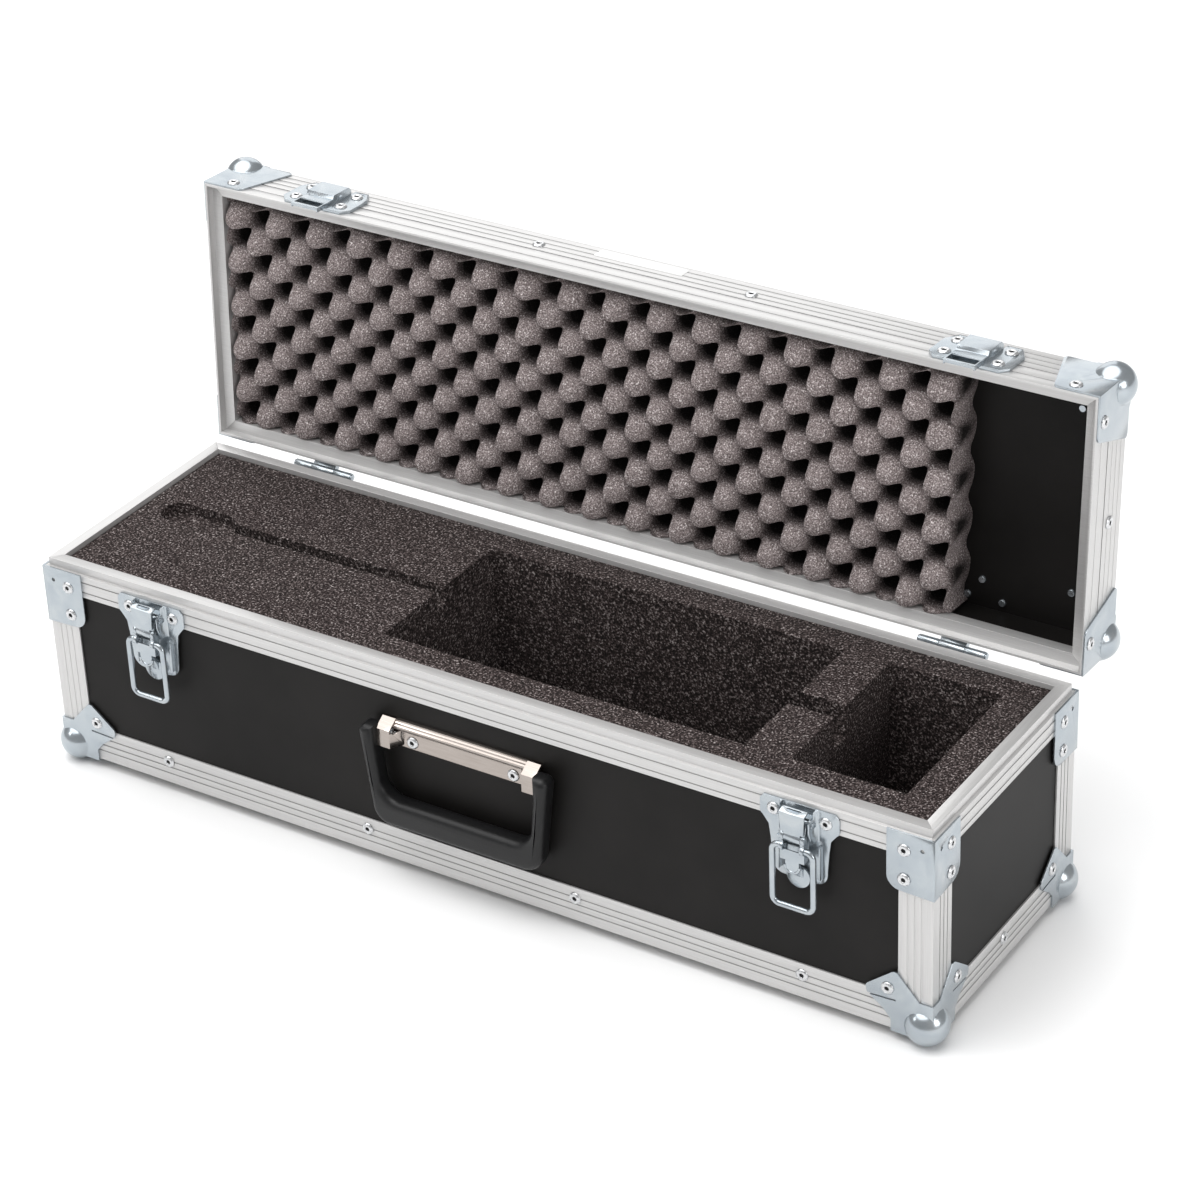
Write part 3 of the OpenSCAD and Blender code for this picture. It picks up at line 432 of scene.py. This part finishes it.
def lidFoam():
    work = bmesh.new()
    length = peaks["right"] - peaks["left"]
    width = 2 * peaks["halfWidth"]
    across = round(length / peaks["step"])
    deep = round(width / peaks["step"])
    bmesh.ops.create_grid(work, x_segments=across, y_segments=deep, size=0.5)
    bmesh.ops.scale(work, vec=(length, width, 1.0), verts=work.verts)
    middle = (peaks["left"] + peaks["right"]) / 2
    bmesh.ops.translate(work, vec=(middle, 0.0, peaks["valley"]), verts=work.verts)
    # hollow holds each point's depth; the lid foam's finish reads it to paint shade into the valleys
    hollow = work.verts.layers.float.new("hollow")
    for v in work.verts:
        a = math.pi * (v.co.x - peaks["firstX"]) / peaks["pitchX"]
        b = math.pi * (v.co.y - peaks["firstY"]) / peaks["pitchY"]
        v[hollow] = 0.5 - 0.5 * math.cos(a) * math.cos(b)
        depth = v[hollow] ** peaks["roundness"]
        wander = noise.noise(v.co * peaks["unevenScale"]) * peaks["unevenness"]
        v.co.z = peaks["tip"] + (peaks["valley"] - peaks["tip"]) * depth + wander
        sag = (1.0 - v[hollow]) ** 1.5
        swell = peaks["swell"] * sag
        v.co.x += peaks["droop"][0] * sag + swell * math.sin(a) * math.cos(b)
        v.co.y += peaks["droop"][1] * sag + swell * math.sin(b) * math.cos(a)
        v.co.y = min(v.co.y, peaks["halfWidth"])
    rim = [e for e in work.edges if e.is_boundary]
    made = bmesh.ops.extrude_edge_only(work, edges=rim)
    skirt = [g for g in made["geom"] if isinstance(g, bmesh.types.BMVert)]
    # The skirt takes a middling depth, which gives it painted shade as well
    for v in skirt:
        v.co.z = peaks["back"]
        v[hollow] = peaks["edgeShade"]
    bmesh.ops.contextual_create(work, geom=[e for e in work.edges if e.is_boundary])
    bmesh.ops.recalc_face_normals(work, faces=work.faces)
    bmesh.ops.transform(work, matrix=opened(), verts=work.verts)
    mesh = bpy.data.meshes.new("lidFoamPeaks")
    work.to_mesh(mesh)
    work.free()
    mesh.shade_smooth()
    mesh.set_sharp_from_angle(angle=math.radians(60))
    piece = newPiece("lidFoamPeaks", mesh, finish["lidFoam"], "lid", "lid_foam", "lid_foam")


lidFoam()
print("lid foam made")

# Hanging grip with rounded edges, drawn flat and then stood up in front of its axle
grip = {
    "axle": (0.0, -0.1195, 0.1245),
    "inner": 0.0723,
    "outer": 0.0853,
    "top": 0.0044,
    "topCorner": 0.0062,
    "outerCorner": 0.016,
    "outerTaper": 0.008,
    "innerCorner": 0.017,
    "innerTaper": 0.003,
    "taperStart": -0.013,
    "drop": 0.082,
    "bar": 0.023,
    "thick": 0.0178,
    "back": -0.1131,
    "edge": 0.0058,
}


def arcPoints(cx, cy, r, start, stop, count):
    turns = [math.radians(start + (stop - start) * i / count) for i in range(count + 1)]
    return [(cx + r * math.cos(t), cy + r * math.sin(t)) for t in turns]


def handleGrip():
    g = grip
    r = g["topCorner"]
    half = arcPoints(g["outer"] - r, g["top"] - r, r, 90, 0, 5)
    r = g["outerCorner"]
    half += arcPoints(g["outer"] - g["outerTaper"] - r, -g["drop"] + r, r, 0, -90, 8)
    r = g["innerCorner"]
    inner = arcPoints(g["inner"] - g["innerTaper"] - r, -g["drop"] + g["bar"] + r, r, -90, 0, 10)
    inner += [(g["inner"], g["taperStart"]), (g["inner"], g["top"])]
    line = half + [(-x, z) for x, z in reversed(half)]
    line += [(-x, z) for x, z in reversed(inner)] + inner
    work = bmesh.new()
    ring = [work.verts.new((x, 0.0, z)) for x, z in line]
    face = work.faces.new(ring)
    pulled = bmesh.ops.extrude_face_region(work, geom=[face])
    moved = [v for v in pulled["geom"] if isinstance(v, bmesh.types.BMVert)]
    bmesh.ops.translate(work, vec=(0.0, -g["thick"], 0.0), verts=moved)
    bmesh.ops.recalc_face_normals(work, faces=work.faces)
    work.edges.ensure_lookup_table()
    sharp = [e for e in work.edges if abs(e.verts[0].co.y - e.verts[1].co.y) < 1e-6]
    bmesh.ops.bevel(work, geom=sharp, offset=g["edge"], offset_type="OFFSET", segments=5,
                    profile=0.5, affect="EDGES", clamp_overlap=True, material=-1)
    bmesh.ops.translate(work, vec=(0.0, g["back"], g["axle"][2]), verts=work.verts)
    mesh = bpy.data.meshes.new("handleGrip")
    work.to_mesh(mesh)
    work.free()
    mesh.shade_smooth()
    mesh.set_sharp_from_angle(angle=math.radians(50))
    newPiece("handleGrip", mesh, finish["plastic"], "grip", "black_plastic", "handle_grip")


handleGrip()
print("grip made")

# Ends of the screws inside the lid, each with its distances from the middle and from the hinge edge
screwEnds = {
    "radius": 0.0034,
    "taper": 0.8,
    "height": 0.0016,
    "belowLidTop": 0.0085,
    "places": (
        (0.2947, 0.0316),
        (0.2827, 0.0164),
        (0.3124, 0.016),
        (0.3688, 0.0402),
        (0.369, 0.1924),
    ),
}


def innerScrews():
    work = bmesh.new()
    s = screwEnds
    for x, fromHinge in s["places"]:
        y = case["halfWidth"] - fromHinge
        z = case["stepHeight"] + case["lidHeight"] - s["belowLidTop"]
        place = Matrix.Translation((x, y, z - s["height"] / 2))
        bmesh.ops.create_cone(work, cap_ends=True, segments=20, radius1=s["radius"] * s["taper"],
                              radius2=s["radius"], depth=s["height"], matrix=place)
    bmesh.ops.transform(work, matrix=opened(), verts=work.verts)
    mesh = bpy.data.meshes.new("lidScrewEnds")
    work.to_mesh(mesh)
    work.free()
    piece = newPiece("lidScrewEnds", mesh, finish["zinc"], "lid", "zinc_steel")
    addBevel(piece, edgeWidths["latch"], 2)


innerScrews()
print("screw ends made")

# Floor, light and camera
stageSet = {
    "floorHeight": -0.0105,
    "floorSize": 16.0,
    "floorColour": (0.9, 0.9, 0.9),
    "worldStrength": 0.4,
    "skyEnergy": 2.7,
    "skyAngle": 75,
    "skyDirection": (0.25, 0.1, -1.0),
}
# Name, place, target, size and power of each lamp
lamps = (
    ("overhead", (-0.2, -0.5, 2.2), (0.0, 0.0, 0.1), 0.7, 6.0),
    ("fromBehind", (-1.4, 2.2, 1.5), (0.0, 0.0, 0.2), 2.0, 15.0),
    ("fromLeft", (-1.8, -1.6, 1.3), (0.0, 0.0, 0.1), 0.5, 4.0),
    ("fromRight", (2.2, -0.4, 0.9), (0.0, 0.0, 0.1), 0.8, 10.0),
)


def stageFloor():
    work = bmesh.new()
    bmesh.ops.create_grid(work, x_segments=1, y_segments=1, size=stageSet["floorSize"] / 2)
    bmesh.ops.translate(work, vec=(0.0, 0.0, stageSet["floorHeight"]), verts=work.verts)
    mesh = bpy.data.meshes.new("studioFloor")
    work.to_mesh(mesh)
    work.free()
    floor = bpy.data.objects.new("studioFloor", mesh)
    bpy.context.scene.collection.objects.link(floor)
    mesh.materials.append(newMaterial("studioFloor", roughness=0.9, colour=stageSet["floorColour"]))


def newLamp(name, kind, energy, direction):
    data = bpy.data.lights.new(name, kind)
    data.energy = energy
    lamp = bpy.data.objects.new(name, data)
    bpy.context.scene.collection.objects.link(lamp)
    lamp.rotation_euler = Vector(direction).to_track_quat("-Z", "Y").to_euler()
    return lamp


def studio():
    stageFloor()
    world = bpy.data.worlds.new("studio")
    world.use_nodes = True
    background = world.node_tree.nodes["Background"]
    background.inputs["Color"].default_value = (1.0, 1.0, 1.0, 1.0)
    background.inputs["Strength"].default_value = stageSet["worldStrength"]
    bpy.context.scene.world = world
    bpy.context.scene.view_settings.view_transform = "Standard"
    sky = newLamp("skyLight", "SUN", stageSet["skyEnergy"], stageSet["skyDirection"])
    sky.data.angle = math.radians(stageSet["skyAngle"])
    for name, place, target, size, power in lamps:
        lamp = newLamp(name, "AREA", power, Vector(target) - Vector(place))
        lamp.location = place
        lamp.data.shape = "SQUARE"
        lamp.data.size = size


# Fitted to the photograph
cameraPlace = {
    "at": (1.36671, -1.98297, 1.62076),
    "azimuth": 33.4702,
    "elevation": 30.6667,
    "roll": -2.4583,
    "lens": 109.529,
    "sensor": 36.0,
    "nearest": 0.1,
    "farthest": 40.0,
}


def camera():
    a, e, r = (math.radians(cameraPlace[k]) for k in ("azimuth", "elevation", "roll"))
    back = Vector((math.sin(a) * math.cos(e), -math.cos(a) * math.cos(e), math.sin(e)))
    right = Vector((0.0, 0.0, 1.0)).cross(back).normalized()
    up = back.cross(right)
    turnedRight = right * math.cos(r) + up * math.sin(r)
    turnedUp = up * math.cos(r) - right * math.sin(r)
    data = bpy.data.cameras.new("camera")
    data.sensor_width = cameraPlace["sensor"]
    data.lens = cameraPlace["lens"]
    data.clip_start, data.clip_end = cameraPlace["nearest"], cameraPlace["farthest"]
    view = bpy.data.objects.new("camera", data)
    bpy.context.scene.collection.objects.link(view)
    axes = Matrix((turnedRight, turnedUp, back)).transposed().to_4x4()
    view.matrix_world = Matrix.Translation(Vector(cameraPlace["at"])) @ axes
    bpy.context.scene.camera = view


studio()
camera()
print("stage, lights and camera set")
